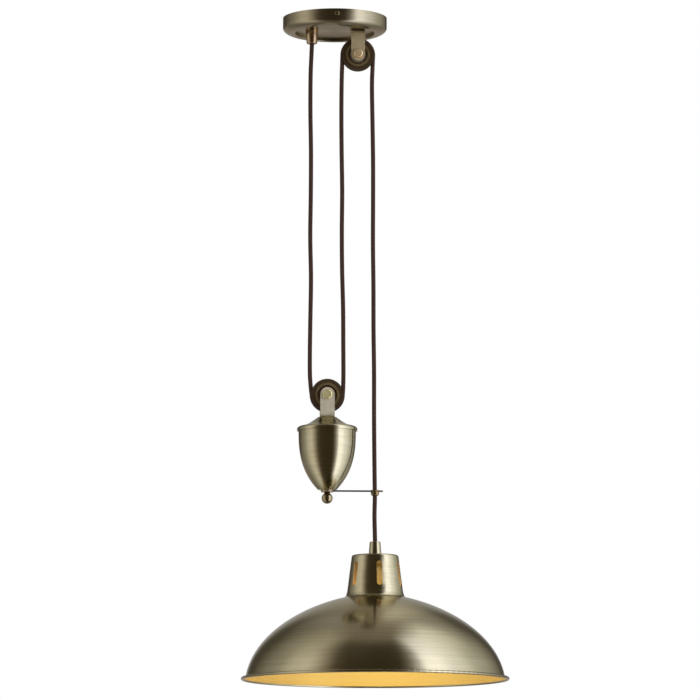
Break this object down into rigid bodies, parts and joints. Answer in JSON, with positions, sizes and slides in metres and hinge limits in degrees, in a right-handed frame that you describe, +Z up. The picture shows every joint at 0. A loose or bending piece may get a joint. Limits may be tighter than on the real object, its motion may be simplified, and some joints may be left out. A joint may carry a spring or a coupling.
{
  "type": "rise and fall pendant light",
  "caption": "Ceiling pendant with a spun dome shade on a braided flex, reeved over two pulleys with a filled counterweight so the shade slides up and down and stays put.",
  "frame": {"origin": "middle of the mounting strap's top face, where the fitting meets the ceiling, on the ceiling cup's axis", "axes": "+Z up out of the ceiling face, +X from the cord grip towards the ceiling pulley, -Y the front"},
  "size_m": [0.3802, 0.3802, 0.9515],
  "materials": {
    "antique_brass_sheet": "brushed antique brass plate on spun steel sheet",
    "antique_brass_solid": "brushed antique brass",
    "dark_brass": "dark bronzed brass with rubbed edges",
    "bronze": "turned bronze, oiled",
    "plain_brass": "turned brass",
    "zinc_steel": "zinc plated",
    "iron": "rough cast",
    "terminal_white": "smooth moulded",
    "black_phenolic": "moulded phenolic",
    "braided_flex": "dark brown braid over a rubber core",
    "core_sleeve": "smooth sleeve",
    "pearl_glass": "pearl finish",
    "nickel": "spun, dull"
  },
  "bodies": {
    "ceiling": {"mounting_strap": "zinc_steel", "ceiling_cup": "antique_brass_sheet", "cup_screws": "antique_brass_solid", "earth_screw": "plain_brass", "terminal_block": "terminal_white", "terminal_screws": "zinc_steel", "ceiling_grip": "antique_brass_solid", "ceiling_grip_nipple": "plain_brass", "ceiling_grip_nut": "plain_brass", "ceiling_fork": "antique_brass_solid", "ceiling_fork_bolt": "zinc_steel", "ceiling_fork_nut": "zinc_steel", "ceiling_axle": "zinc_steel", "ceiling_axle_caps": "antique_brass_solid", "flex_ceiling_tail": "braided_flex", "flex_ceiling_cores": "core_sleeve", "flex_fixed_run": "braided_flex", "flex_rising_run": "braided_flex", "flex_ceiling_wrap": "braided_flex", "flex_drop_run": "braided_flex"},
    "ceiling_wheel": {"ceiling_pulley": "dark_brass", "ceiling_pulley_bush": "bronze"},
    "counterweight": {"weight_fork": "antique_brass_solid", "weight_axle": "zinc_steel", "weight_axle_caps": "antique_brass_solid", "weight_lid": "antique_brass_sheet", "weight_casing": "antique_brass_sheet", "weight_ballast": "iron", "weight_tie_screw": "zinc_steel", "weight_finial": "antique_brass_solid", "guide_arm": "dark_brass", "guide_ring": "dark_brass", "flex_weight_wrap": "braided_flex"},
    "weight_wheel": {"weight_pulley": "dark_brass", "weight_pulley_bush": "bronze"},
    "shade": {"shade_shell": "antique_brass_sheet", "shade_grip": "antique_brass_solid", "shade_nipple": "plain_brass", "shade_washer": "zinc_steel", "shade_nut": "zinc_steel", "lampholder_cap": "plain_brass", "lampholder_body": "plain_brass", "lampholder_insert": "black_phenolic", "lampholder_screw_shell": "plain_brass", "centre_contact": "plain_brass", "lampholder_screws": "zinc_steel", "flex_shade_tail": "braided_flex", "flex_shade_cores": "core_sleeve"},
    "bulb": {"bulb_glass": "pearl_glass", "bulb_cap": "nickel", "bulb_contact": "nickel"}
  },
  "joints": [
    {"name": "shade_drop", "type": "slide", "parent": "ceiling", "child": "shade", "axis": [0, 0, -1], "range_m": [-0.043, 0.85], "deforming": ["flex_drop_run"]},
    {"name": "weight_rise", "type": "slide", "parent": "ceiling", "child": "counterweight", "axis": [0, 0, 1], "range_m": [-0.022, 0.4255], "deforming": ["flex_fixed_run", "flex_rising_run"]},
    {"name": "ceiling_pulley_spin", "type": "hinge", "parent": "ceiling", "child": "ceiling_wheel", "pos_m": [0.033, 0, -0.053], "axis": [0, 1, 0], "range_deg": [-115, 2220]},
    {"name": "weight_pulley_spin", "type": "hinge", "parent": "counterweight", "child": "weight_wheel", "pos_m": [-0.0107, 0, -0.546], "axis": [0, 1, 0], "range_deg": [-1110, 60]},
    {"name": "bulb_unscrew", "type": "slide", "parent": "shade", "child": "bulb", "axis": [0, 0, -1], "range_m": [0, 0.028]}
  ],
  "couplings": [
    {"joint": "weight_rise", "follows": "shade_drop", "ratio": 0.5},
    {"joint": "ceiling_pulley_spin", "follows": "shade_drop", "rad_per_m": 45.455},
    {"joint": "weight_pulley_spin", "follows": "shade_drop", "rad_per_m": -22.727}
  ]
}
